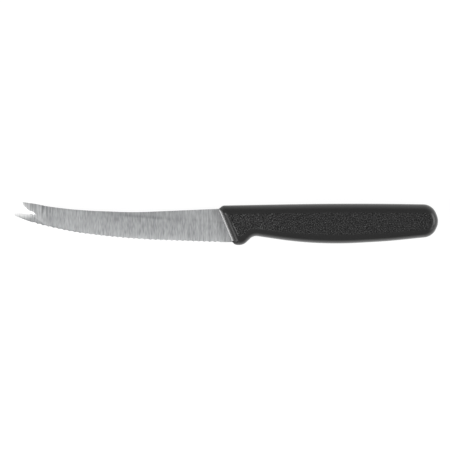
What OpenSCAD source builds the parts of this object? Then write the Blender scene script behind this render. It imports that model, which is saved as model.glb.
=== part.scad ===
// Tomato knife: a serrated blade with a forked tip, in a moulded handle.
// It lies on its side. X runs from the fork to the butt, Y from the cutting
// edge to the spine, Z through the thickness. The origin is the middle of the
// outline, on the surface that the knife lies on.
// A corner is given before it is rounded: where its two straight sides meet.

/* [Overall] */
// Length from the fork's tips to the butt
overall_len = 220; // [212:1:236]
// Length of the handle to the butt, from where its front line would meet its back line
handle_len = 114.7; // [110:0.1:125]

/* [Blade] */
// Thickness of the steel sheet
sheet_t = 1.2; // [1:0.1:2]
// Height of the spine where it meets the handle, above the middle
spine_y = 7.45; // [7:0.05:8]
// Depth of the plain heel of the edge below the middle
heel_y = 9.95; // [9:0.05:10.5]
// Height of the grind line at the fork, above the middle
grind_tip_y = 8.8; // [7:0.1:9]
// Height of the grind line at the handle, above the middle
grind_heel_y = -0.4; // [-3:0.1:3]
// Angle between the ground face and the flat of the sheet
grind_angle = 2.3; // [1.5:0.1:2.4]

/* [Serration] */
// Number of scallops along the edge
tooth_count = 35; // [10:1:36]
// Distance from cusp to cusp
tooth_pitch = 2.82; // [2:0.02:2.82]
// Depth of a scallop
tooth_depth = 0.35; // [0.2:0.05:0.5]
// Angle between a scallop's bevel and the flat of the sheet
tooth_bevel = 18; // [12:1:30]
// Distance from the last cusp forward to the middle of the knife
tooth_start = 3; // [3:0.5:12]

/* [Fork] */
// Height of the upper prong's tip above the middle
prong_y = 11.35; // [10.5:0.05:12]
// Width of the upper prong's blunt end
prong_end = 1.4; // [1:0.1:2]
// Depth of the notch, from the lower prong's tip to the corner of its V
notch_len = 9; // [7:0.1:9.4]
// Height of the corner of the V above the middle
notch_y = 4.2; // [3.8:0.1:4.6]
// Height of the lower prong's tip above the middle, at the notch
lower_prong_y = 5.6; // [5.2:0.1:5.8]
// Width of the bevel along the upper prong
upper_bevel = 1.1; // [0.6:0.1:1.4]
// Width of the bevel along the lower prong
lower_bevel = 0.5; // [0.3:0.1:0.8]
// Length of the bevel behind the upper prong's blunt end
tip_bevel = 2.5; // [1:0.1:3]
// Thickness that the bevels leave at the rim of the notch and at the blunt end
notch_land = 0.2; // [0.1:0.05:0.5]

/* [Tang] */
// Length of the tang behind the heel
tang_len = 72; // [60:1:80]
// Height of the tang
tang_h = 9; // [7:0.1:9]
// Diameter of the anchor holes
anchor_d = 4; // [3:0.1:5]
// Number of anchor holes
anchor_count = 3; // [2:1:4]

/* [Handle] */
// Thickness of the handle between its flanks
handle_t = 12; // [11.6:0.1:16]
// Thickness of the handle at the nose
nose_t = 8.8; // [8.6:0.1:11]
// Length over which the flanks thin towards the nose
nose_taper = 28; // [12:1:36]
// Thickness of the square front face round the blade
front_t = 7.2; // [4:0.1:7.4]
// Width of the polished lip behind the front face
lip_w = 0.6; // [0.3:0.1:0.8]
// Width of the bevel behind the front face, with the lip
nose_rim = 3.4; // [2.6:0.1:3.4]
// Width of the rounded rim along the slope between the front and the back
slope_rim = 5.7; // [5.7:0.1:6.2]
// Width of the rounded rim along the back
back_rim = 4.7; // [3:0.1:4.7]
// Width of the rounded rim along the belly
belly_rim = 2.2; // [2:0.1:2.8]
// Width of the rounded rim round the butt
butt_rim = 3.6; // [2.5:0.1:3.8]
// Width of the rounded rim under the finger guard
guard_rim = 2.7; // [2.6:0.1:3]

/* [Hidden] */

// Largest gap between a rounded corner and the straight pieces that draw it
chord_gap = 0.02;
// How far a cutter reaches past the solid that it cuts
over = 1;
$fn = 48;

tip_x = -overall_len / 2;
butt_x = overall_len / 2;
nose_x = butt_x - handle_len;
mid_z = handle_t / 2;

// The sheet's corners are [x, y, radius], clockwise from the heel's top
heel_x = nose_x + 10.7;
tang_y = 0.2;
tang_fillet = 3;
tang_round = tang_h / 2 - 0.1;
spine_corners = [
    [nose_x + 9, spine_y + 0.3, 1],
    [nose_x - 43.2, spine_y - 1.95, 200],
    [tip_x + 31.7, spine_y - 0.75, 235],
    [tip_x + 16.5, prong_y - 2.6, 40],
    [tip_x + 11.4, prong_y - 1.5, 30]
];
notch_r = 0.45;
fork_corners = [
    [tip_x + 1.1, prong_y, 0.3],
    [tip_x + 1.1, prong_y - prong_end, 0.3],
    [tip_x + notch_len, notch_y, notch_r],
    [tip_x, lower_prong_y, 0.7]
];
edge_corners = [
    [tip_x, 3.85, 0.6],
    [tip_x + 10.9, -0.43, 90],
    [tip_x + 31.1, -4.93, 150],
    [tip_x + 59.6, -8.43, 430],
    [nose_x - 1.3, -heel_y, 60],
    [heel_x, -heel_y, 0.5]
];
tang_corners = [
    [heel_x, tang_y - tang_h / 2, tang_fillet],
    [heel_x + tang_len, tang_y - tang_h / 2, tang_round],
    [heel_x + tang_len, tang_y + tang_h / 2, tang_round],
    [nose_x + 9, tang_y + tang_h / 2, 1.5]
];
anchor_first = 8;
anchor_step = (tang_len - 2 * anchor_first) / (anchor_count - 1);

// The handle's corners are [x, y, outline radius, flank radius, rim of the
// side that follows], clockwise from the top of the front
handle_corners = [
    [nose_x + 0.67, 7.35, 0.4, 0.4, slope_rim],
    [nose_x + 2.95, 9.1, 2, 0.6, back_rim],
    [nose_x + 0.588 * handle_len, 10.32, 2000, 1980, back_rim],
    [butt_x - 2.7, 9.67, 7.3, 3.5, butt_rim],
    [butt_x + 0.8, 0.8, 8.1, 4.5, butt_rim],
    [butt_x - 2.7, -7.08, 7.4, 4, belly_rim],
    [butt_x - 26, -9.45, 300, 297, belly_rim],
    [nose_x + 0.455 * handle_len, -11.5, 208, 205, belly_rim],
    [nose_x + 18.7, -6.5, 4.7, 6.5, belly_rim],
    [nose_x + 13.52, -11.62, 5.6, 0.8, guard_rim],
    [nose_x + 8.5, -11.35, 3.2, 0.8, nose_rim]
];
rim_steps = 6;

function unit(v) = v / norm(v);
function xy(c) = [c.x, c.y];
function right_of(v) = [v.y, -v.x];

// Where the line through p along u meets the line through q along v
function crossing(p, u, q, v) = p + u * cross(q - p, v) / cross(u, v);

// Points of the arc of radius r that rounds corner b, drawn as finely as radius fine asks
function corner_arc(a, b, c, r, fine) = let(
    to_a = unit(a - b),
    to_c = unit(c - b),
    half = acos(to_a * to_c) / 2,
    centre = b + unit(to_a + to_c) * r / sin(half),
    first = b + to_a * r / tan(half) - centre,
    turn = (180 - 2 * half) * sign(cross(to_c, to_a)),
    steps = ceil(abs(turn) / (2 * acos(1 - chord_gap / fine))),
    start = atan2(first.y, first.x)
) [for (i = [0:steps])
    let(a = start + turn * i / steps) centre + r * [cos(a), sin(a)]];

function neighbour(corners, i) = corners[(i + len(corners)) % len(corners)];

// The arcs of a closed outline, one list of points for each corner
function corner_arcs(corners, radii, fine) = [
    for (i = [0:len(corners) - 1]) corner_arc(
        xy(neighbour(corners, i - 1)), xy(corners[i]), xy(neighbour(corners, i + 1)),
        radii[i], fine[i])
];

function column(table, i) = [for (row = table) row[i]];
function joined(lists) = [for (l = lists) each l];
function rounded(corners) = let(radii = column(corners, 2)) joined(corner_arcs(corners, radii, radii));

// Length along a path up to each of its points
function lengths(p) = [
    for (i = 0, s = 0; i < len(p); s = s + (i + 1 < len(p) ? norm(p[i + 1] - p[i]) : 0), i = i + 1) s
];

// Point of a path at length s, where marks are its points' lengths
function along(p, marks, s) = [
    for (axis = [0, 1]) lookup(s, [for (i = [0:len(p) - 1]) [marks[i], p[i][axis]]])
];

// Line where the flat of the sheet ends and the ground face begins
grind_start = [tip_x, grind_tip_y];
grind_way = unit([nose_x, grind_heel_y] - grind_start);

// Height of the ground face above the sheet's middle at a point of the outline
function ground_z(p) = sheet_t / 2 - tan(grind_angle) * max(0, cross(p - grind_start, grind_way));

// The edge as a path from the fork to the heel, through the cusps
edge_path = let(n = len(edge_corners)) concat(
    [xy(edge_corners[0])],
    joined([for (i = [1:n - 2]) corner_arc(
        xy(edge_corners[i - 1]), xy(edge_corners[i]), xy(edge_corners[i + 1]),
        edge_corners[i][2], edge_corners[i][2])]),
    [xy(edge_corners[n - 1])]);
edge_marks = lengths(edge_path);
last_cusp = lookup(-tooth_start, [for (i = [0:len(edge_path) - 1]) [edge_path[i].x, edge_marks[i]]]);

// Radius of the grinding wheel that leaves a scallop of that pitch and depth
scallop_r = pow(tooth_pitch, 2) / (8 * tooth_depth * sin(tooth_bevel));
scallop_len = 9;
scallop_lead = 3;

module sheet_outline() {
    difference() {
        polygon(rounded(concat(spine_corners, fork_corners, edge_corners, tang_corners)));
        for (i = [0:anchor_count - 1])
            translate([heel_x + anchor_first + i * anchor_step, tang_y])
                circle(d = anchor_d);
    }
}

// What the grinding takes off one side, up to the end of the heel
module ground_off() {
    translate([grind_start.x, grind_start.y, sheet_t / 2])
        rotate([0, 0, atan2(grind_way.y, grind_way.x)])
            rotate([grind_angle, 0, 0])
                translate([-over, -2 * heel_y, 0])
                    cube([heel_x - tip_x + over, 2 * heel_y, sheet_t]);
}

// The flat blank with both sides ground: blade and tang in one piece
module ground_sheet() {
    difference() {
        linear_extrude(sheet_t, center = true) sheet_outline();
        ground_off();
        mirror([0, 0, 1]) ground_off();
    }
}

// A scallop is ground from the lower side by a wheel that leans along the edge
module scallop(middle) {
    before = along(edge_path, edge_marks, middle - tooth_pitch / 2);
    after = along(edge_path, edge_marks, middle + tooth_pitch / 2);
    foot = (before + after) / 2;
    way = after - before;
    translate([foot.x, foot.y, ground_z(foot)])
        rotate([0, 0, atan2(way.y, way.x)])
            translate([0, tooth_depth, 0])
                rotate([-tooth_bevel, 0, 0])
                    translate([0, -scallop_lead, -scallop_r])
                        rotate([-90, 0, 0])
                            cylinder(r = scallop_r, h = scallop_len);
}

// The V of the notch, from its corner along each prong
notch_root = [tip_x + notch_len, notch_y];
upper_way = unit([tip_x + 1.1, prong_y - prong_end] - notch_root);
lower_way = unit([tip_x, lower_prong_y] - notch_root);

// The V with its sides moved out and its corner rounded. Its mouth runs past the prongs
module notch(upper, lower, r) {
    mouth = 16;
    root = crossing(
        notch_root + upper * right_of(upper_way), upper_way,
        notch_root - lower * right_of(lower_way), lower_way);
    polygon(rounded([
        concat(root, r),
        concat(root + mouth * lower_way, 0.1),
        concat(root + mouth * upper_way, 0.1)
    ]));
}

module notch_bevel_cut() {
    skin = 0.01;
    top_r = notch_r + (upper_bevel + lower_bevel) / 6;
    hull() {
        translate([0, 0, notch_land / 2]) linear_extrude(skin) notch(0, 0, notch_r);
        translate([0, 0, sheet_t / 2]) linear_extrude(over) notch(upper_bevel, lower_bevel, top_r);
    }
}

// What is ground off the upper prong towards its blunt end
module tip_bevel_cut() {
    turn = 27;
    drop = atan((sheet_t - notch_land) / 2 / tip_bevel);
    reach_below = 4.8;
    reach_above = 2.2;
    translate([tip_x + 1.1, prong_y - prong_end / 2, notch_land / 2])
        rotate([0, 0, turn])
            rotate([0, -drop, 0])
                translate([-over, -reach_below, 0])
                    cube([2 * tip_bevel + over, reach_below + reach_above, sheet_t]);
}

module blade() {
    color("silver") translate([0, 0, mid_z]) difference() {
        ground_sheet();
        for (i = [0:tooth_count - 1]) scallop(last_cusp - (i + 0.5) * tooth_pitch);
        for (side = [0, 1]) mirror([0, 0, side]) {
            notch_bevel_cut();
            tip_bevel_cut();
        }
    }
}

// Corner i of the flank: the outline's corner with both sides moved in by their rims
function flank_corner(i) = let(
    a = xy(neighbour(handle_corners, i - 1)),
    b = xy(handle_corners[i]),
    c = xy(neighbour(handle_corners, i + 1)),
    in_before = right_of(unit(b - a)) * neighbour(handle_corners, i - 1)[4],
    in_after = right_of(unit(c - b)) * handle_corners[i][4]
) crossing(b + in_before, b - a, b + in_after, c - b);

outline_radii = column(handle_corners, 2);
flank_corners = [for (i = [0:len(handle_corners) - 1]) flank_corner(i)];
outline_arcs = corner_arcs(handle_corners, outline_radii, outline_radii);
flank_arcs = corner_arcs(flank_corners, column(handle_corners, 3), outline_radii);

// The rim's sections in order round the handle: [x and y at the middle plane, x and y at
// the flank, share of the nose's profile], with the whole of that profile along the front
// and none of it past the corners at the front's two ends
corner_sections = let(last = len(outline_arcs) - 1) joined([
    for (i = [0:last]) let(steps = len(outline_arcs[i]) - 1) [
        for (k = [0:steps]) concat(
            outline_arcs[i][k], flank_arcs[i][k], i == 0 ? 1 - k / steps : i == last ? k / steps : 0)
    ]
]);

// How far a point of the plan lies behind the front line
front_way = unit(xy(handle_corners[0]) - xy(neighbour(handle_corners, -1)));
function behind_front(p) = (p - xy(handle_corners[0])) * right_of(front_way);

// Two more sections where the flank begins to thin towards the nose
sections = let(n = len(corner_sections)) [
    for (i = [0:n - 1]) let(
        a = corner_sections[i],
        b = corner_sections[(i + 1) % n],
        at_a = behind_front([a[2], a[3]]),
        at_b = behind_front([b[2], b[3]]),
        t = (nose_taper - at_a) / (at_b - at_a)
    ) each t > 0 && t < 1 ? [a, a + t * (b - a)] : [a]
];

// Half of the thickness between the flanks at a section
function half_t(s) = mid_z
    - max(0, nose_taper - behind_front([s[2], s[3]])) * (handle_t - nose_t) / (2 * nose_taper);

// Profiles from the middle plane to the flank, as [share of the rim, height]
function rim_profile(j, half) = let(a = 90 * j / rim_steps) [1 - cos(a), half * sin(a)];
function nose_profile(j, half) = let(
    lip_z = front_t / 2 + 0.6 * lip_w,
    a = 90 * (j - 2) / (rim_steps - 2)
) j < 2 ? [0, j * front_t / 2]
    : [(lip_w + (nose_rim - lip_w) * (1 - cos(a) + sin(a)) / 2) / nose_rim,
        lip_z + (half - lip_z) * (1 - cos(a) + sin(a)) / 2];

function ring_point(s, j) = let(
    level = abs(j),
    half = half_t(s),
    rim = rim_profile(level, half),
    at = rim + s[4] * (nose_profile(level, half) - rim)
) [s[0] + at[0] * (s[2] - s[0]), s[1] + at[0] * (s[3] - s[1]), sign(j) * at[1]];

// The moulded form: a rounded rim carried along the outline between two flanks, each of
// them in two flat parts
module handle_form() {
    n = len(sections);
    rings = 2 * rim_steps;
    touch = 0.001;
    points = [for (j = [0:rings]) for (s = sections) ring_point(s, j - rim_steps)];
    sides = [
        for (j = [0:rings - 1]) for (i = [0:n - 1]) let(k = (i + 1) % n)
            [j * n + i, j * n + k, (j + 1) * n + k, (j + 1) * n + i]
    ];
    at = [for (s = sections) behind_front([s[2], s[3]])];
    thinned = [for (i = [0:n - 1]) if (at[i] < nose_taper + touch) i];
    level = [for (i = [0:n - 1]) if (at[i] > nose_taper - touch) i];
    flanks = [for (part = [thinned, level]) each [
        [for (i = part) rings * n + i],
        [for (i = [len(part) - 1:-1:0]) part[i]]
    ]];
    polyhedron(points, concat(sides, flanks), convexity = 4);
}

module handle() {
    color("dimgray") translate([0, 0, mid_z]) difference() {
        handle_form();
        ground_sheet();
    }
}

blade();
handle();
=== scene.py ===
"""Tomato knife: a serrated stainless blade with a forked tip, in a black moulded handle.

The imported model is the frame, in metres: X runs from the fork to the butt, Y from the cutting
edge to the spine and Z up, and the knife lies on its flank on the floor at Z = 0.
"""

import bmesh
import bpy
import numpy as np
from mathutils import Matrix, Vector


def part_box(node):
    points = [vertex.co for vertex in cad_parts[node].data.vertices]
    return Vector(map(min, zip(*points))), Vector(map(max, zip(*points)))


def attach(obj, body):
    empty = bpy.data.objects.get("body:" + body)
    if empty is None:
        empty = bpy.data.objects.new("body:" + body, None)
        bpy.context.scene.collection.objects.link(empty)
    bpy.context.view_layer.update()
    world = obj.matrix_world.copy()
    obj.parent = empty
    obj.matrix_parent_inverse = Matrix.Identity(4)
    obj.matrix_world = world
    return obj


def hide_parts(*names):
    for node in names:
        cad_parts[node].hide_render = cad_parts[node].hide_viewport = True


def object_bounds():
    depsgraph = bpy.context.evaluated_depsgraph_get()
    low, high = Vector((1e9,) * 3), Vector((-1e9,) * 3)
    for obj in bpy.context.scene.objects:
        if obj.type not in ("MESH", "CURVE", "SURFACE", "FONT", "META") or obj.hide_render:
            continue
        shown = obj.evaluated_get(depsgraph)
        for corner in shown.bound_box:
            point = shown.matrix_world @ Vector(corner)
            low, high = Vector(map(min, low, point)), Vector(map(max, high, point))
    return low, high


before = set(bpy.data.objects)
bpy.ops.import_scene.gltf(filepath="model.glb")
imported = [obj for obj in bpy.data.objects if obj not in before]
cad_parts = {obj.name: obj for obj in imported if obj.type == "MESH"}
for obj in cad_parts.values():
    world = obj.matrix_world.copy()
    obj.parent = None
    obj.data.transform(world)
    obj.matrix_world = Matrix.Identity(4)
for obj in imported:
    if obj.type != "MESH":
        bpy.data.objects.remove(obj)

bl_info = {
    "name": "Tomato knife",
    "version": (1, 0, 0),
    "blender": (4, 5, 0),
    "location": "View3D > Sidebar > Knife",
    "description": "Makes the blade and the handle of a tomato knife and sets their stage",
    "category": "Object",
}

MM = 0.001
# Points nearer than this, in millimetres, are one
MERGE = 0.0002
CAD_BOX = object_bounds()
# Places along the knife, in millimetres: the fork's tips, the handle's butt, its front top corner
# and the end of the blade's heel inside it
TIP_X = -110
BUTT_X = 110
NOSE_X = BUTT_X - 114.7
HEEL_X = NOSE_X + 10.7
# Ways leading off the notch's upper side, off its lower side and off the upper prong's blunt end,
# and the middle of that end
ABOVE_NOTCH = (0.588, 0.809)
BELOW_NOTCH = (-0.154, -0.988)
OFF_THE_END = (0.891, 0.454)
END_MIDDLE = (TIP_X + 1.1, 10.65)


def linear(hex_colour):
    """An sRGB hex colour, such as "8c8f92", as linear red, green, blue and an alpha of 1."""
    parts = [int(hex_colour[i : i + 2], 16) / 255 for i in (0, 2, 4)]
    return [c / 12.92 if c <= 0.04045 else ((c + 0.055) / 1.055) ** 2.4 for c in parts] + [1.0]


def add(tree, kind, settings=None, links=None):
    """Adds a shader node, sets its properties or its inputs by name or number, links inputs to
    the sockets that feed them, and gives its outputs."""
    made = tree.nodes.new(kind)
    for key, value in (settings or {}).items():
        if isinstance(key, int) or key in made.inputs:
            made.inputs[key].default_value = value
        else:
            setattr(made, key, value)
    for key, source in (links or {}).items():
        tree.links.new(source, made.inputs[key])
    return made.outputs


def new_material(name):
    """A node material with nothing in it, and its tree."""
    material = bpy.data.materials.new(name)
    material.use_nodes = True
    material.node_tree.nodes.clear()
    return material, material.node_tree


def grains(tree, coords, size, detail):
    """Noise whose grains are size[0] by size[1] by size[2] millimetres."""
    scale = [1 / (s * MM) for s in size]
    place = add(tree, "ShaderNodeMapping", {"Scale": scale}, {"Vector": coords})["Vector"]
    settings = {"Scale": 1.0, "Detail": detail}
    return add(tree, "ShaderNodeTexNoise", settings, {"Vector": place})["Fac"]


def cross_ground_steel():
    """Martensitic stainless sheet, ground on a belt that runs from the spine to the edge. It is
    satin and spreads the light along the knife, across the belt's lines. The lines show as fine
    paler and darker streaks, deepest behind the fork. The flat is a little paler than the
    ground face, a painted shade darkens the grind line, and a painted highlight turns the bevels
    round the notch nearly white. The tone carries more painted light and shade from the "shade"
    attribute. The belt's lines are tenths of a millimetre apart, and are drawn about twice as
    coarse so that they show."""
    material, tree = new_material("cross_ground_stainless_steel")
    coords = add(tree, "ShaderNodeTexCoord")["Object"]
    # The shade attribute is the blade's painted light and shade, added to the steel's tone
    shade = add(tree, "ShaderNodeAttribute", {"attribute_name": "shade"})["Fac"]
    streaked = add(tree, "ShaderNodeAttribute", {"attribute_name": "streaked"})["Fac"]
    painted_highlight = add(tree, "ShaderNodeAttribute", {"attribute_name": "painted_highlight"})["Fac"]
    lengthwise = add(
        tree,
        "ShaderNodeTangent",
        {"direction_type": "UV_MAP", "uv_map": "plan"},
    )["Tangent"]
    # The deep lines run from the spine to the edge, and the scratches for a few millimetres
    lines = grains(tree, coords, (0.55, 16, 16), 0.0)
    scratches = grains(tree, coords, (0.4, 3.5, 3.5), 1.0)
    streak = add(
        tree,
        "ShaderNodeMapRange",
        {"From Min": 0.35, "From Max": 0.65, "To Min": -0.5, "To Max": 0.5},
        {"Value": lines},
    )["Result"]
    shade = add(
        tree,
        "ShaderNodeMath",
        {"operation": "MULTIPLY_ADD"},
        {0: streak, 1: streaked, 2: shade},
    )["Value"]
    mottled = add(
        tree,
        "ShaderNodeMapRange",
        {"From Min": 0.3, "From Max": 0.7, "To Min": 0.23, "To Max": 0.63},
        {"Value": scratches},
    )["Result"]
    tone = add(
        tree,
        "ShaderNodeMath",
        {"operation": "ADD", "use_clamp": True},
        {0: shade, 1: mottled},
    )["Value"]
    ground = add(
        tree,
        "ShaderNodeMix",
        {"data_type": "RGBA", 6: linear("7b7d7e"), 7: linear("cbcccd")},
        {0: tone},
    )[2]
    # Painted highlight: the fork's bevels are mixed towards near-white where they catch the light
    colour = add(
        tree,
        "ShaderNodeMix",
        {"data_type": "RGBA", 7: linear("f2f2f2")},
        {0: painted_highlight, 6: ground},
    )[2]
    steel = add(
        tree,
        "ShaderNodeBsdfPrincipled",
        {"Metallic": 1.0, "Roughness": 0.45, "Anisotropic": 0.8},
        {"Base Color": colour, "Tangent": lengthwise},
    )["BSDF"]
    add(tree, "ShaderNodeOutputMaterial", links={"Surface": steel})
    return material


def moulded_polypropylene():
    """Black polypropylene from a mould whose flanks are spark-eroded and whose rims are smooth.
    The flanks are dull, with a pebble grain that breaks the light into specks, and the rims
    have a soft sheen. The lip round the blade is polished. The grain is 0.2 mm wide, and is
    drawn 0.4 mm wide so that it shows."""
    material, tree = new_material("spark_eroded_polypropylene")
    coords = add(tree, "ShaderNodeTexCoord")["Object"]
    eroded = add(tree, "ShaderNodeAttribute", {"attribute_name": "eroded"})["Fac"]
    polished = add(tree, "ShaderNodeAttribute", {"attribute_name": "polished"})["Fac"]
    pebbles = grains(tree, coords, (0.4, 0.4, 0.4), 2.0)
    depth = add(
        tree,
        "ShaderNodeMath",
        {"operation": "MULTIPLY"},
        {0: pebbles, 1: eroded},
    )["Value"]
    bump = add(
        tree,
        "ShaderNodeBump",
        {"Strength": 1.0, "Distance": 0.25 * MM},
        {"Height": depth},
    )["Normal"]
    specks = add(
        tree,
        "ShaderNodeMapRange",
        {"From Min": 0.5, "From Max": 0.7},
        {"Value": pebbles},
    )["Result"]
    # Each pebble shades the next, so the flank is darker than a rim between its pale specks
    speckled = add(
        tree,
        "ShaderNodeMix",
        {"data_type": "RGBA", 6: linear("101010"), 7: linear("5e5e5e")},
        {0: specks},
    )[2]
    colour = add(
        tree,
        "ShaderNodeMix",
        {"data_type": "RGBA", 6: linear("1c1c1c")},
        {0: eroded, 7: speckled},
    )[2]
    dull = add(
        tree,
        "ShaderNodeMapRange",
        {"To Min": 0.3, "To Max": 0.45},
        {"Value": eroded},
    )["Result"]
    roughness = add(
        tree,
        "ShaderNodeMapRange",
        {"To Max": 0.2},
        {"Value": polished, "To Min": dull},
    )["Result"]
    shine = add(
        tree,
        "ShaderNodeMapRange",
        {"To Min": 0.5, "To Max": 0.15},
        {"Value": eroded},
    )["Result"]
    plastic = add(
        tree,
        "ShaderNodeBsdfPrincipled",
        {"IOR": 1.49},
        {
            "Base Color": colour,
            "Normal": bump,
            "Roughness": roughness,
            "Specular IOR Level": shine,
        },
    )["BSDF"]
    add(tree, "ShaderNodeOutputMaterial", links={"Surface": plastic})
    return material


def white_paper(settings):
    """Matt white paper under the knife. What the camera, mirrors and glass see of it is mostly
    its own white, so that it fades into the background and still keeps a trace of shadow."""
    material, tree = new_material("white_paper")
    rays = add(tree, "ShaderNodeLightPath")
    seen = add(
        tree,
        "ShaderNodeMath",
        {"operation": "MAXIMUM"},
        {0: rays["Is Camera Ray"], 1: rays["Is Glossy Ray"]},
    )["Value"]
    seen = add(
        tree,
        "ShaderNodeMath",
        {"operation": "MAXIMUM"},
        {0: seen, 1: rays["Is Transmission Ray"]},
    )["Value"]
    share = add(
        tree,
        "ShaderNodeMath",
        {"operation": "MULTIPLY", 1: settings.paper_white},
        {0: seen},
    )["Value"]
    paper = add(tree, "ShaderNodeBsdfDiffuse", {"Color": linear("eeeeee")})["BSDF"]
    # A little over white makes up for the shaded paper that it is mixed with
    white = add(
        tree,
        "ShaderNodeEmission",
        {"Color": linear("ffffff"), "Strength": 1.08},
    )["Emission"]
    sheet = add(tree, "ShaderNodeMixShader", links={0: share, 1: paper, 2: white})["Shader"]
    add(tree, "ShaderNodeOutputMaterial", links={"Surface": sheet})
    return material


def unit(v):
    return v / np.linalg.norm(v)


def cross(u, v):
    return u[0] * v[1] - u[1] * v[0]


def corner_arcs(corners, radii, fine, gap):
    """The arcs that round the corners of a closed outline, one array of points for each. A point
    is the arc's centre plus its radius times (cos a, sin a), with a in equal steps from one side
    to the next. The steps keep an arc of radius fine within gap of its chords."""
    arcs = []
    rows = zip(np.roll(corners, 1, axis=0), corners, np.roll(corners, -1, axis=0), radii, fine)
    for before, corner, after, radius, finest in rows:
        to_a = unit(before - corner)
        to_c = unit(after - corner)
        half = np.arccos(to_a @ to_c) / 2
        centre = corner + unit(to_a + to_c) * radius / np.sin(half)
        first = corner + to_a * radius / np.tan(half) - centre
        turn = (np.pi - 2 * half) * np.sign(cross(to_c, to_a))
        steps = int(np.ceil(abs(turn) / (2 * np.arccos(1 - gap / finest))))
        angle = np.arctan2(first[1], first[0]) + turn * np.linspace(0, 1, steps + 1)
        arcs.append(centre + radius * np.column_stack([np.cos(angle), np.sin(angle)]))
    return arcs


def soft_path(points, steps):
    """A curve led by a row of points: between the middles of neighbouring legs it is the
    parabola (1-t)^2 M + 2 t (1-t) P + t^2 N, where P is the point between the middles M and N.
    It starts and ends on the first and the last point."""
    points = np.asarray(points, float)
    middles = (points[:-1] + points[1:]) / 2
    middles[0], middles[-1] = points[0], points[-1]
    t = (np.arange(steps) / steps)[None, :, None]
    before, lead, after = middles[:-1, None], points[1:-1, None], middles[1:, None]
    curve = (1 - t) ** 2 * before + 2 * t * (1 - t) * lead + t**2 * after
    return np.vstack([curve.reshape(-1, points.shape[1]), points[-1:]])


def grid_object(name, grids, material, sharp_angle):
    """One mesh over grids of points, in millimetres, each of which closes on itself across its
    second direction. A grid is (points, attributes, ends), where ends says whether its first and
    its last ring are closed by a flat face. Points are kept inside the CAD model's box, those
    that fall together are merged, and the UV map is the plan, X and Y in metres."""
    places, faces, layers = [], [], {}
    for points, attributes, ends in grids:
        rows, ring, _ = points.shape
        index = np.arange(rows * ring).reshape(rows, ring) + sum(len(p) for p in places)
        here, there = index[:-1], index[1:]
        quads = np.stack([here, np.roll(here, -1, 1), np.roll(there, -1, 1), there], axis=-1)
        faces += quads.reshape(-1, 4).tolist()
        faces += [index[0, ::-1].tolist()] * ends[0] + [index[-1].tolist()] * ends[1]
        places.append(points.reshape(-1, 3) * MM)
        for key, values in attributes.items():
            layers.setdefault(key, []).append(np.broadcast_to(values, (rows, ring)).ravel())
    mesh = bpy.data.meshes.new(name)
    mesh.from_pydata(np.clip(np.vstack(places), *CAD_BOX), [], faces)
    for key, values in layers.items():
        layer = mesh.attributes.new(key, "FLOAT", "POINT")
        layer.data.foreach_set("value", np.concatenate(values).astype(np.float32))
    shape = bmesh.new()
    shape.from_mesh(mesh)
    bmesh.ops.remove_doubles(shape, verts=shape.verts, dist=MERGE * MM)
    shape.to_mesh(mesh)
    shape.free()
    mesh.shade_smooth()
    mesh.set_sharp_from_angle(angle=np.radians(sharp_angle))
    corners = np.empty(len(mesh.loops), np.int32)
    mesh.loops.foreach_get("vertex_index", corners)
    spots = np.empty(3 * len(mesh.vertices), np.float32)
    mesh.vertices.foreach_get("co", spots)
    plan = mesh.uv_layers.new(name="plan")
    plan.data.foreach_set("uv", spots.reshape(-1, 3)[corners, :2].ravel())
    mesh.materials.append(material)
    piece = bpy.data.objects.new(name, mesh)
    bpy.context.scene.collection.objects.link(piece)
    return piece


class BladeSettings(bpy.types.PropertyGroup):
    """Sizes of the blade's sheet, grinding and scallops."""

    sheet_t: bpy.props.FloatProperty(
        name="Sheet",
        description="Thickness of the steel sheet",
        default=0.0012,
        unit="LENGTH",
    )
    grind_tip: bpy.props.FloatProperty(
        name="Grind line at the fork",
        description="Height of the grind line at the fork, above the middle",
        default=0.0088,
        unit="LENGTH",
    )
    grind_heel: bpy.props.FloatProperty(
        name="Grind line at the handle",
        description="Height of the grind line at the handle, above the middle",
        default=-0.0004,
        unit="LENGTH",
    )
    grind_angle: bpy.props.FloatProperty(
        name="Grind angle",
        description="Mean angle between the ground face and the flat of the sheet",
        default=np.radians(2.3),
        unit="ROTATION",
    )
    tooth_count: bpy.props.IntProperty(
        name="Scallops",
        description="Number of scallops along the edge",
        default=35,
    )
    tooth_pitch: bpy.props.FloatProperty(
        name="Pitch",
        description="Distance from cusp to cusp",
        default=0.00282,
        unit="LENGTH",
    )
    tooth_depth: bpy.props.FloatProperty(
        name="Scallop depth",
        description="How far a scallop cuts the edge back",
        default=0.00035,
        unit="LENGTH",
    )
    tooth_bevel: bpy.props.FloatProperty(
        name="Scallop bevel",
        description="Angle between a scallop's bevel and the flat of the sheet",
        default=np.radians(18),
        unit="ROTATION",
    )
    tooth_start: bpy.props.FloatProperty(
        name="Last cusp",
        description="Distance from the last cusp forward to the middle of the knife",
        default=0.003,
        unit="LENGTH",
    )
    notch_land: bpy.props.FloatProperty(
        name="Notch land",
        description="Thickness that the bevels leave at the rim of the notch",
        default=0.0002,
        unit="LENGTH",
    )
    upper_bevel: bpy.props.FloatProperty(
        name="Upper prong's bevel",
        description="Width of the bevel along the upper prong",
        default=0.0009,
        unit="LENGTH",
    )
    lower_bevel: bpy.props.FloatProperty(
        name="Lower prong's bevel",
        description="Width of the bevel along the lower prong",
        default=0.0005,
        unit="LENGTH",
    )
    tip_bevel: bpy.props.FloatProperty(
        name="End bevel",
        description="Length of the bevel behind the upper prong's blunt end",
        default=0.002,
        unit="LENGTH",
    )
    root_bevel: bpy.props.FloatProperty(
        name="Root's bevel",
        description="How far the bevel reaches behind the root of the notch",
        default=0.0045,
        unit="LENGTH",
    )


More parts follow.
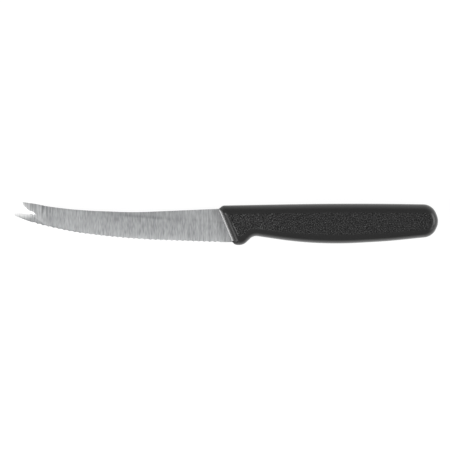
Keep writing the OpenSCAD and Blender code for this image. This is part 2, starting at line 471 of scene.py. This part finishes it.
class HandleSettings(bpy.types.PropertyGroup):
    """Sizes of the handle's rims and nose."""

    slope_rim: bpy.props.FloatProperty(
        name="Slope rim",
        description="Width of the rounded rim along the slope between the front and the back",
        default=0.0057,
        unit="LENGTH",
    )
    back_rim: bpy.props.FloatProperty(
        name="Back rim",
        description="Width of the rounded rim along the back",
        default=0.0047,
        unit="LENGTH",
    )
    belly_rim: bpy.props.FloatProperty(
        name="Belly rim",
        description="Width of the rounded rim along the belly",
        default=0.0022,
        unit="LENGTH",
    )
    butt_rim: bpy.props.FloatProperty(
        name="Butt rim",
        description="Width of the rounded rim round the butt",
        default=0.0036,
        unit="LENGTH",
    )
    guard_rim: bpy.props.FloatProperty(
        name="Guard rim",
        description="Width of the rounded rim under the finger guard",
        default=0.0027,
        unit="LENGTH",
    )
    nose_rim: bpy.props.FloatProperty(
        name="Nose rim",
        description="Width of the bevel behind the front face, with the lip",
        default=0.0034,
        unit="LENGTH",
    )
    lip: bpy.props.FloatProperty(
        name="Lip",
        description="Width of the polished lip behind the front face",
        default=0.0006,
        unit="LENGTH",
    )
    nose_taper: bpy.props.FloatProperty(
        name="Nose taper",
        description="Length over which the flanks thin towards the nose",
        default=0.028,
        unit="LENGTH",
    )
    nose_thinning: bpy.props.FloatProperty(
        name="Nose thinning",
        description="How much each flank thins at the nose",
        default=0.0016,
        unit="LENGTH",
    )


class StageSettings(bpy.types.PropertyGroup):
    """Camera, floor and light."""

    view_width: bpy.props.FloatProperty(
        name="View width",
        description="Width of the square that the picture shows at the knife's height",
        default=0.234,
        unit="LENGTH",
    )
    camera_height: bpy.props.FloatProperty(
        name="Camera height",
        description="Height of the camera above the floor",
        default=1.6,
        unit="LENGTH",
    )
    view_x: bpy.props.FloatProperty(
        name="View centre X",
        description="Where the middle of the picture lies along the knife",
        default=-0.00065,
        unit="LENGTH",
    )
    view_y: bpy.props.FloatProperty(
        name="View centre Y",
        description="Where the middle of the picture lies across the knife",
        default=-0.00104,
        unit="LENGTH",
    )
    overhead: bpy.props.FloatProperty(
        name="Overhead level",
        description="Brightness of the studio straight above the knife",
        default=0.38,
        min=0.0,
    )
    all_round: bpy.props.FloatProperty(
        name="Level all round",
        description="Brightness of the studio at the height of the floor",
        default=0.9,
        min=0.0,
    )
    paper_white: bpy.props.FloatProperty(
        name="Paper white",
        description="How far the paper shows its own white instead of the light on it",
        default=0.86,
        min=0.0,
        max=1.0,
        subtype="FACTOR",
    )


def blade_chains():
    """The sheet's outline in millimetres as chains in which x never falls: over the spine and
    the tang's back, along both sides of the notch to its root, and along the edge and the
    tang's belly. The outline is straight sides and arcs."""
    tang_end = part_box("blade")[1].x / MM
    table = np.array(
        [
            [NOSE_X + 9, 7.75, 1],
            [NOSE_X - 43.2, 5.5, 200],
            [TIP_X + 31.7, 6.7, 235],
            [TIP_X + 16.5, 8.75, 40],
            [TIP_X + 11.4, 9.85, 30],
            [TIP_X + 1.1, 11.35, 0.3],
            [TIP_X + 1.1, 9.95, 0.3],
            [TIP_X + 9, 4.2, 0.45],
            [TIP_X, 5.6, 0.7],
            [TIP_X, 3.85, 0.6],
            [TIP_X + 10.9, -0.43, 90],
            [TIP_X + 31.1, -4.93, 150],
            [TIP_X + 59.6, -8.43, 430],
            [NOSE_X - 1.3, -9.95, 60],
            [HEEL_X, -9.95, 0.5],
            [HEEL_X, -4.3, 3],
            [tang_end, -4.3, 4.4],
            [tang_end, 4.7, 4.4],
            [NOSE_X + 9, 4.7, 1.5],
        ]
    )
    radii = table[:, 2]
    arcs = corner_arcs(table[:, :2], radii, np.maximum(radii, 1), 0.003)
    back = np.vstack([arcs[i][::-1] for i in (5, 4, 3, 2, 1, 0, 18, 17)])
    root = int(np.argmax(arcs[7][:, 0]))
    upper_notch = np.vstack([arcs[6], arcs[7][: root + 1]])
    lower_notch = np.vstack([arcs[8][::-1], arcs[7][root:][::-1]])
    belly = np.vstack(arcs[9:17])
    return back, upper_notch, lower_notch, belly


def scalloped(chain, settings):
    """The chain of the edge with its scallops, and the places in x where they start and end.
    Between two cusps a pitch p apart the edge is cut back by depth (1 - (2 u / p)^2), where u
    is the distance along the edge from the scallop's middle."""
    pitch, depth = settings.tooth_pitch / MM, settings.tooth_depth / MM
    marks = np.concatenate([[0], np.cumsum(np.linalg.norm(np.diff(chain, axis=0), axis=1))])
    last = np.interp(-settings.tooth_start / MM, chain[:, 0], marks)
    first = last - settings.tooth_count * pitch
    # Points along a scallop, and the distance over which the edge's direction is taken
    steps, near = 14, 0.2
    cut = np.linspace(first, last, settings.tooth_count * steps + 1)
    every = np.unique(np.concatenate([marks, cut]).round(5))
    place = np.column_stack([np.interp(every, marks, chain[:, k]) for k in (0, 1)])
    ahead = np.column_stack([np.interp(every + near, marks, chain[:, k]) for k in (0, 1)])
    behind = np.column_stack([np.interp(every - near, marks, chain[:, k]) for k in (0, 1)])
    way = ahead - behind
    way /= np.linalg.norm(way, axis=1)[:, None]
    toothed = (every > first - 1e-4) & (every < last + 1e-4)
    u = (every - first) % pitch - pitch / 2
    cut_back = np.where(toothed, depth * (1 - (2 * u / pitch) ** 2), 0)
    inwards = np.column_stack([-way[:, 1], way[:, 0]])
    ends = np.interp([first, last], marks, chain[:, 0])
    return place + inwards * cut_back[:, None], ends


def ramp(values, zero, one):
    """0 up to the value zero, 1 from the value one on, and even in between, in either order."""
    return np.clip((values - zero) / (one - zero), 0, 1)


def fork_distances(x, y, root):
    """How far each point lies off the notch's upper side, off its lower side, behind its root
    and off the upper prong's blunt end, in millimetres: dot products with the ways that lead
    off them."""
    over, along = x - root[0], y - root[1]
    return (
        over * ABOVE_NOTCH[0] + along * ABOVE_NOTCH[1],
        over * BELOW_NOTCH[0] + along * BELOW_NOTCH[1],
        over,
        (x - END_MIDDLE[0]) * OFF_THE_END[0] + (y - END_MIDDLE[1]) * OFF_THE_END[1],
    )


def past_grind_line(x, y, grind):
    """How far each point lies below the grind line, a place and a way along it."""
    start, way = grind
    return (x - start[0]) * way[1] - (y - start[1]) * way[0]


def heights(settings, x, y, grind, root):
    """Height of the blade's upper face above its middle plane, and how far out each point lies
    in the fork's bevels, from 0 at their rim to 1 and beyond.

    The face is flat down to the grind line and falls from there, evenly at first and faster
    towards the edge: k (0.6 d + 0.4 d^2 / 9) at a distance d. Each side of the notch is ground
    by a bevel of its own width, the upper one wider behind the root, and so is the
    upper prong towards its blunt end. Where the bevels round the notch meet they are rounded
    into each other: the cube root of the sum of the cubes of the distances, each as a share of
    its bevel's width. A bevel's shoulder is a parabola from 0.4 to 1.6 of its width."""
    half = settings.sheet_t / MM / 2
    below = np.clip(past_grind_line(x, y, grind), 0, None)
    # 9 mm below the grind line the mean slope is the grind angle's
    face = half - np.tan(settings.grind_angle) * (0.6 * below + 0.4 * below**2 / 9)
    land = settings.notch_land / MM / 2
    above, under, behind, off_end = fork_distances(x, y, root)
    from_notch = sum(
        np.clip(distance * MM / width, 0, None) ** 3
        for distance, width in (
            (above, settings.upper_bevel * (1 + ramp(behind, -0.5, 2))),
            (under, settings.lower_bevel),
            (behind, settings.root_bevel),
        )
    ) ** (1 / 3)
    from_end = np.clip(off_end * MM / settings.tip_bevel, 0, None)
    out = np.where(above > 0, np.minimum(from_notch, from_end), from_notch)
    shoulder = 1 - (1.6 - np.clip(out, 0.4, 1.6)) ** 2 / 2.4
    bevelled = land + (half - land) * np.where(out < 0.4, out, shoulder)
    return np.minimum(face, bevelled), out


def finish(x, y, edge, grind, root, out):
    """How the blade's faces are coloured: "shade", added to the steel's tone; "streaked", how
    strongly the belt's lines show; and "painted_highlight", how far the fork is painted nearly
    white where it catches the light. Each is a sum of products of ramps between places in
    millimetres.

    The shade is mostly painted light and shade. It is lighter towards the fork, with painted
    shade on the fork where the fork-side lamp falls, and a little darker on the ground face than
    on the flat. Painted light lifts the handle's shadow near the handle and the middle of the
    edge, and painted shade lies along the grind line in the middle of the blade, in a thin line
    beside it near the handle, and along the edge near the fork."""
    past = past_grind_line(x, y, grind)
    above, under, behind, off_end = fork_distances(x, y, root)
    ground = ramp(past, -1, 1.5)
    near_handle = ramp(x, -26, -12)
    # Painted shade along the grind line in the middle of the blade
    grind_line_shade = ramp(past, -1.7, -0.6) * ramp(past, 0.7, 0.1)
    grind_line_shade = grind_line_shade * ramp(x, -65, -52) * ramp(x, -28, -38)
    # Painted shade in a thin line beside the grind line near the handle
    thin_grind_shade = ramp(abs(past + 1), 0.6, 0.15) * near_handle
    # Painted shade along the edge near the fork
    painted_edge_shade = ramp(y - edge, 0.8, 0.3) * ramp(x, -70, -76)
    # Painted light along the middle of the edge
    painted_edge_light = ramp(y - edge, 3, 0.6) * ramp(x, -60, -48) * ramp(x, -16, -24)
    shade = (
        # Lighter towards the fork
        0.08 * ramp(x, -60, -80)
        # Painted shade on the fork, where the fork-side lamp falls
        - 0.1 * ramp(x, -84, -94)
        - 0.06 * ground
        # Painted light near the handle, against the handle's shadow
        + (0.16 - 0.08 * ground) * near_handle
        - 0.17 * grind_line_shade
        - 0.09 * thin_grind_shade
        - 0.25 * painted_edge_shade
        + 0.16 * painted_edge_light
    )
    behind_fork = ramp(x, -90, -95) * ramp(y, 1.7, 6)
    streaked = 0.1 + 0.65 * behind_fork + 0.12 * near_handle
    # Painted highlight: the bevels round the notch, the upper prong's end and the lower prong
    # turn nearly white where they catch the light
    upper_end = np.maximum(ramp(off_end, 4.6, 2), 0.35 * ramp(off_end, 11, 3))
    upper_prong = (above > 0) * upper_end
    lower_prong = (under > 0) * ramp(y, 2.2, 5.2) * ramp(behind, 2.5, 0.5)
    painted_highlight = np.maximum(ramp(out, 1.4, 0.6), np.maximum(upper_prong, lower_prong))
    return {"shade": shade, "streaked": streaked, "painted_highlight": painted_highlight}


def blade_surface(settings):
    """Points of the blade on three grids: the upper prong, the lower prong, and the rest with the
    tang. The first direction of each runs towards the butt. The second goes round the sheet:
    down the upper face from the spine to the edge and up the lower face. Rows of points follow
    the spine, the grind line, a line back from the notch's root, the top of the scallops'
    bevel, and the edge. The scallops' bevel is on the lower face, and rises to the edge."""
    back, upper_notch, lower_notch, belly = blade_chains()
    root = upper_notch[-1]
    edge, toothed_ends = scalloped(belly, settings)
    tang_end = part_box("blade")[1].x / MM
    start = np.array([TIP_X, settings.grind_tip / MM])
    way = unit(np.array([NOSE_X, settings.grind_heel / MM]) - start)
    grind = start, way
    root_x = upper_notch[-1, 0]
    # Where the outline steps across the blade, there is a station just on either side
    step = 0.0005
    walls = [NOSE_X + 9, HEEL_X, *toothed_ends]
    sides = np.concatenate([[w - step, w + step] for w in walls])

    def stations(low, high, chains, spacing):
        """Every place in x that the chains have, and more at the spacing in between."""
        every = np.concatenate([*(c[:, 0] for c in chains), sides, np.arange(low, high, spacing)])
        inside = every[(every > low + step) & (every < high - step)]
        return np.unique(np.concatenate([[low], inside.round(4), [high]]))

    def level(chain, x):
        """Height in y of a chain at each x."""
        return np.interp(x, np.maximum.accumulate(chain[:, 0]), chain[:, 1])

    def rows(marks, counts):
        """Rows of points at the marks and between them, in as many steps as counts says."""
        parts = [
            first + (second - first) * np.linspace(0, 1, count + 1)[:-1, None]
            for first, second, count in zip(marks[:-1], marks[1:], counts)
        ]
        return np.concatenate([*parts, marks[-1][None]]).T

    def grind_line(x):
        return start[1] + (x - start[0]) * way[1] / way[0]

    def bevel_top(x):
        """Where the scallops' bevel starts on the lower face."""
        low = level(edge, x)
        height, _ = heights(settings, x, low, grind, root)
        return low + 2 * height / np.tan(settings.tooth_bevel)

    spread = (root[1] - bevel_top(root_x)) / (grind_line(root_x) - bevel_top(root_x))

    def middle(x):
        """The row that leads back from the notch's root."""
        return bevel_top(x) + spread * (grind_line(x) - bevel_top(x))

    def ring(x, y, bevel_rows):
        """A grid from its rows on the upper face, whose last bevel_rows lie on the scallops."""
        along = np.broadcast_to(x[:, None], y.shape)
        z, out = heights(settings, along, y, grind, root)
        behind = along > HEEL_X
        z = np.where(behind, settings.sheet_t / MM / 2, z)
        under = -z
        toothed = (along > toothed_ends[0]) & (along < toothed_ends[1])
        rise = np.zeros(y.shape[1])
        if bevel_rows:
            rise[-bevel_rows - 1 :] = np.linspace(0, 1, bevel_rows + 1)
        under = under + toothed * rise * 2 * z[:, -1:]
        upper = np.stack([along, y, z], axis=-1)
        lower = np.stack([along, y, under], axis=-1)[:, ::-1]
        points = np.concatenate([upper, lower], axis=1)
        points[:, :, 2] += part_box("handle")[1].z / MM / 2
        fields = finish(along, y, y[:, -1:], grind, root, out)
        return points, {
            key: np.concatenate([values, values[:, ::-1]], axis=1)
            for key, values in fields.items()
        }

    x = stations(upper_notch[0, 0], root_x, (back, upper_notch), 0.25)
    high, low = level(back, x), level(upper_notch, x)
    line = np.maximum(grind_line(x), low + 0.3 * (high - low))
    prong = ring(x, rows([high, line, low], (10, 14)), 0)
    grids = [(*prong, (True, False))]

    x = stations(lower_notch[0, 0], root_x, (lower_notch, edge), 0.25)
    high, low = level(lower_notch, x), level(edge, x)
    edge_at_root = level(edge, root_x)
    share = (bevel_top(root_x) - edge_at_root) / (root[1] - edge_at_root)
    top = np.minimum(bevel_top(x), low + share * (high - low))
    prong = ring(x, rows([high, top, low], (8, 6)), 6)
    grids.append((*prong, (True, False)))

    x = stations(root_x, tang_end, (back, edge), 0.4)
    marks = [level(back, x), grind_line(x), middle(x), bevel_top(x), level(edge, x)]
    marks[1] = np.minimum(marks[1], marks[0] - 0.1)
    tang = x > HEEL_X
    span = marks[0] - marks[4]
    for i, share in ((1, 0.4), (2, 0.6), (3, 0.8)):
        marks[i] = np.where(tang, marks[0] - share * span, marks[i])
    body = ring(x, rows(marks, (10, 14, 8, 6)), 6)
    grids.append((*body, (False, True)))
    return grids


class KNIFE_OT_blade(bpy.types.Operator):
    """Make the blade, with its fork, its scalloped edge and its tang"""

    bl_idname = "knife.blade"
    bl_label = "Blade"

    def execute(self, context):
        settings = context.scene.knife_blade
        grids = blade_surface(settings)
        blade = grid_object("ground_blade", grids, cross_ground_steel(), 12)
        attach(blade, "root")
        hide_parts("blade")
        return {"FINISHED"}


def handle_sections(settings, gap):
    """The handle's rim, section by section round its outline: [x and y at the middle plane,
    x and y at the flank, share of the nose's profile]. The outline is straight sides and arcs,
    and so is the flank, whose sides are the outline's moved inwards by the width of the rim."""
    slope, back, belly, butt, guard, nose = (
        width / MM
        for width in (
            settings.slope_rim,
            settings.back_rim,
            settings.belly_rim,
            settings.butt_rim,
            settings.guard_rim,
            settings.nose_rim,
        )
    )
    # x, y, radius of the outline, radius of the flank, rim of the side that follows
    table = np.array(
        [
            [NOSE_X + 0.67, 7.35, 0.4, 0.4, slope],
            [NOSE_X + 2.95, 9.1, 2, 0.6, back],
            [NOSE_X + 67.4, 10.32, 2000, 1980, back],
            [BUTT_X - 2.7, 9.67, 7.3, 3.5, butt],
            [BUTT_X + 0.8, 0.8, 8.1, 4.5, butt],
            [BUTT_X - 2.7, -7.08, 7.4, 4, belly],
            [BUTT_X - 26, -9.45, 300, 297, belly],
            [NOSE_X + 52.2, -11.5, 208, 205, belly],
            [NOSE_X + 18.7, -6.5, 4.7, 6.5, belly],
            [NOSE_X + 13.52, -11.62, 5.6, 0.8, guard],
            [NOSE_X + 8.5, -11.35, 3.2, 0.8, nose],
        ]
    )
    corners, radii, flank_radii, rims = table[:, :2], table[:, 2], table[:, 3], table[:, 4]
    ways = np.roll(corners, -1, axis=0) - corners
    ways /= np.linalg.norm(ways, axis=1)[:, None]
    starts = corners + np.column_stack([ways[:, 1], -ways[:, 0]]) * rims[:, None]
    sides = zip(np.roll(starts, 1, axis=0), np.roll(ways, 1, axis=0), starts, ways)
    flank_corners = np.array(
        [
            start + way * cross(next_start - start, next_way) / cross(way, next_way)
            for start, way, next_start, next_way in sides
        ]
    )
    outline = corner_arcs(corners, radii, radii, gap)
    flank = corner_arcs(flank_corners, flank_radii, radii, gap)
    shares = [np.zeros(len(arc)) for arc in outline]
    shares[0] = np.linspace(1, 0, len(outline[0]))
    shares[-1] = np.linspace(0, 1, len(outline[-1]))
    front = corners[0], unit(corners[0] - corners[-1])
    return front, np.column_stack([np.vstack(outline), np.vstack(flank), np.concatenate(shares)])


def along_flank(sections):
    """The same sections as two chains, over the back and under the belly, from the flank's
    foremost point to its rearmost. Both are taken at the same values of x on the flank: every
    x that either of them has, and a millimetre apart in between."""
    first = int(np.argmin(sections[:, 2]))
    rolled = np.vstack([np.roll(sections, -first, axis=0), sections[first]])
    last = int(np.argmax(rolled[:, 2]))
    chains = [rolled[: last + 1], rolled[last:][::-1]]
    places = [np.maximum.accumulate(chain[:, 2]) for chain in chains]
    low, high = rolled[:, 2].min(), rolled[:, 2].max()
    every = np.concatenate([*places, np.arange(low, high, 1.0)]).round(4)
    inside = every[(every > low + 0.001) & (every < high - 0.001)]
    stations = np.unique(np.concatenate([[low], inside, [high]]))
    return [
        np.column_stack([np.interp(stations, place, chain[:, k]) for k in range(5)])
        for place, chain in zip(places, chains)
    ]


def handle_surface(settings):
    """Points of the handle on a grid, and how far each lies on the spark-eroded flank. The first
    direction runs along the handle. The second goes round it: up the back's rim, over the
    upper flank, down the belly's rim, and back underneath.

    The rim is a quarter ellipse, (1 - cos a) of its width inwards and sin a of the half
    thickness up. Along the front it is a face, a polished lip, a cove and a low ridge. The
    half thickness falls evenly over the taper's length towards the front. The flank is smooth
    along the belly, over its last two rows of faces."""
    (front, front_way), sections = handle_sections(settings, 0.002)
    top, bottom = along_flank(sections)
    half_t = (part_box("handle")[1].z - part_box("handle")[0].z) / 2 / MM
    rim, lip, taper = settings.nose_rim / MM, settings.lip / MM, settings.nose_taper / MM

    def half_at(x, y):
        behind = (x - front[0]) * front_way[1] - (y - front[1]) * front_way[0]
        return half_t - settings.nose_thinning / MM * np.clip(1 - behind / taper, 0, None)

    # Height of the cove above the middle plane
    cove = 4.11
    # Led by points [mm behind the front, mm above the middle, share of the rest up to the flank]
    nose = soft_path(
        [
            [0, 0, 0],
            [0, 3.3, 0],
            [0, 3.4, 0],
            [0.1, 3.46, 0],
            [lip - 0.1, 3.67, 0],
            [lip + 0.3, 3.85, 0],
            [lip + 0.7, 3.99, 0],
            [lip + 1.1, cove, 0],
            [lip + 1.6, cove, 0.27],
            [lip + 2.1, cove, 0.63],
            [lip + 2.5, cove, 0.9],
            [rim, cove, 1],
        ],
        5,
    )
    nose_in = nose[:, 0] / rim
    turn = np.linspace(0, np.pi / 2, len(nose))
    rim_in = 1 - np.cos(turn)

    sides = []
    for chain in (top, bottom):
        share = chain[:, 4:5]
        half = half_at(chain[:, 2:3], chain[:, 3:4])
        inwards = (rim_in + share * (nose_in - rim_in))[:, :, None]
        plan = chain[:, None, 0:2] + inwards * (chain[:, None, 2:4] - chain[:, None, 0:2])
        rim_z = half * np.sin(turn)
        height = rim_z + share * (nose[:, 1] + nose[:, 2] * (half - cove) - rim_z)
        sides.append(np.concatenate([plan, height[:, :, None]], axis=2))
    flank_rows, smooth_rows = 15, 2
    over = np.linspace(0, 1, flank_rows + 1)[1:-1, None]
    flank = sides[0][:, -1:] + over * (sides[1][:, -1:] - sides[0][:, -1:])
    flank[:, :, 2] = half_at(flank[:, :, 0], flank[:, :, 1])
    upper = np.concatenate([sides[0], flank, sides[1][:, ::-1]], axis=1)
    eroded = np.zeros(upper.shape[:2])
    eroded[:, len(nose) - 1 : -len(nose) - smooth_rows] = 1
    on_lip = (nose[:, 0] > 0.02) & (nose[:, 0] < lip)
    polished = np.zeros(upper.shape[:2])
    polished[:, : len(nose)] = on_lip * top[:, 4:5]
    polished[:, -len(nose) :] = on_lip[::-1] * bottom[:, 4:5]
    lower = upper[:, ::-1] * [1, 1, -1]
    ring = np.concatenate([upper, lower[:, 1:-1]], axis=1)
    ring[:, :, 2] += half_t
    fields = {
        key: np.concatenate([values, values[:, ::-1][:, 1:-1]], axis=1)
        for key, values in {"eroded": eroded, "polished": polished}.items()
    }
    return ring, fields, (False, False)


class KNIFE_OT_handle(bpy.types.Operator):
    """Make the moulded handle"""

    bl_idname = "knife.handle"
    bl_label = "Handle"

    def execute(self, context):
        settings = context.scene.knife_handle
        grids = [handle_surface(settings)]
        handle = grid_object("moulded_handle", grids, moulded_polypropylene(), 35)
        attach(handle, "root")
        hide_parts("handle")
        return {"FINISHED"}


def soft_box(name, place, size, power):
    """A square lamp at a place, facing the knife."""
    data = bpy.data.lights.new(name, "AREA")
    data.size = size
    data.energy = power
    lamp = bpy.data.objects.new(name, data)
    lamp.location = place
    lamp.rotation_euler = (-Vector(place)).to_track_quat("-Z", "Y").to_euler()
    bpy.context.scene.collection.objects.link(lamp)


def studio(settings):
    """A studio that is dim straight above and bright all round: its level falls with the square
    of the height of the direction looked in."""
    world = bpy.data.worlds.new("light_tent")
    world.use_nodes = True
    tree = world.node_tree
    tree.nodes.clear()
    way = add(tree, "ShaderNodeTexCoord")["Generated"]
    height = add(tree, "ShaderNodeSeparateXYZ", links={"Vector": way})["Z"]
    level = add(
        tree,
        "ShaderNodeMapRange",
        {
            "interpolation_type": "SMOOTHSTEP",
            "From Min": 0.05,
            "From Max": 0.6,
            "To Min": settings.all_round,
            "To Max": settings.overhead,
        },
        {"Value": height},
    )["Result"]
    light = add(
        tree,
        "ShaderNodeBackground",
        {"Color": linear("ffffff")},
        {"Strength": level},
    )["Background"]
    add(tree, "ShaderNodeOutputWorld", links={"Surface": light})
    return world


class KNIFE_OT_stage(bpy.types.Operator):
    """Set the floor, the soft light and the camera straight above the knife"""

    bl_idname = "knife.stage"
    bl_label = "Stage"

    def execute(self, context):
        settings = context.scene.knife_stage
        scene = context.scene
        scene.view_settings.view_transform = "Standard"
        scene.world = studio(settings)

        # Half the floor's width, wide enough for its edges to stay out of the other views
        half = 3.0
        mesh = bpy.data.meshes.new("floor")
        corners = [(-half, -half, 0), (half, -half, 0), (half, half, 0), (-half, half, 0)]
        mesh.from_pydata(corners, [], [(0, 1, 2, 3)])
        floor = bpy.data.objects.new("floor", mesh)
        floor.data.materials.append(white_paper(settings))
        scene.collection.objects.link(floor)

        soft_box("soft_box_fork_side", (-0.8, -0.34, 0.5), 0.5, 12)
        soft_box("soft_box_butt_side", (0.9, 0.1, 0.4), 0.8, 6.5)

        lens = bpy.data.cameras.new("camera")
        lens.sensor_width = 36.0
        distance = settings.camera_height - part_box("blade")[1].z
        lens.lens = lens.sensor_width * distance / settings.view_width
        lens.clip_start = 0.05
        lens.clip_end = 20.0
        camera = bpy.data.objects.new("camera", lens)
        camera.location = (settings.view_x, settings.view_y, settings.camera_height)
        scene.collection.objects.link(camera)
        scene.camera = camera
        return {"FINISHED"}


class KNIFE_PT_panel(bpy.types.Panel):
    """Buttons and sizes of the knife"""

    bl_idname = "KNIFE_PT_panel"
    bl_label = "Tomato knife"
    bl_space_type = "VIEW_3D"
    bl_region_type = "UI"
    bl_category = "Knife"

    def draw(self, context):
        layout = self.layout
        for name in STEPS:
            layout.operator("knife." + name)
        for group in GROUPS:
            settings = getattr(context.scene, group)
            for name in settings.__annotations__:
                layout.prop(settings, name)


STEPS = ("blade", "handle", "stage")
GROUPS = {
    "knife_blade": BladeSettings,
    "knife_handle": HandleSettings,
    "knife_stage": StageSettings,
}
CLASSES = (*GROUPS.values(), KNIFE_OT_blade, KNIFE_OT_handle, KNIFE_OT_stage, KNIFE_PT_panel)


def register():
    for c in CLASSES:
        bpy.utils.register_class(c)
    for name, group in GROUPS.items():
        setattr(bpy.types.Scene, name, bpy.props.PointerProperty(type=group))


def unregister():
    for name in GROUPS:
        delattr(bpy.types.Scene, name)
    for c in reversed(CLASSES):
        bpy.utils.unregister_class(c)


def main():
    """Makes every piece and the stage."""
    register()
    for step in STEPS:
        getattr(bpy.ops.knife, step)()


if __name__ == "__main__":
    main()
